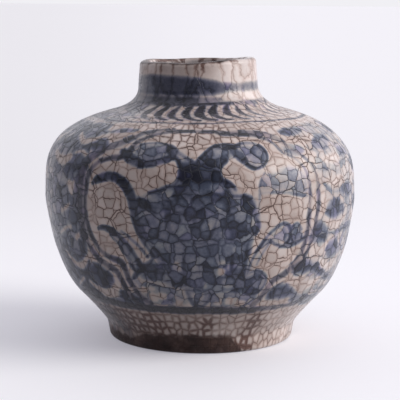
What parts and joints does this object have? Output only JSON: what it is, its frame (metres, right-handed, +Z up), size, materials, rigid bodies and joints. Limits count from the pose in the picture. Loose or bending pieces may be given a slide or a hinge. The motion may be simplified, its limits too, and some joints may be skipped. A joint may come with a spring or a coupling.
{
  "type": "squat ceramic vase",
  "caption": "Squat round-shouldered ceramic vase with a short straight neck, a turned foot ring and a crackled glaze coat.",
  "frame": {"origin": "centre of the circle that the foot stands on", "axes": "+Z up along the turning axis; -Y is the front, which carries the painted panel"},
  "size_m": [0.0842, 0.0842, 0.075],
  "materials": {
    "biscuit": "matt unglazed brown stoneware",
    "glaze": "satin crackled glaze over cobalt painting"
  },
  "bodies": {
    "root": {"foot_ring": "biscuit", "lower_body": "biscuit", "upper_body": "biscuit", "neck": "biscuit", "outer_glaze": "glaze"}
  },
  "joints": []
}
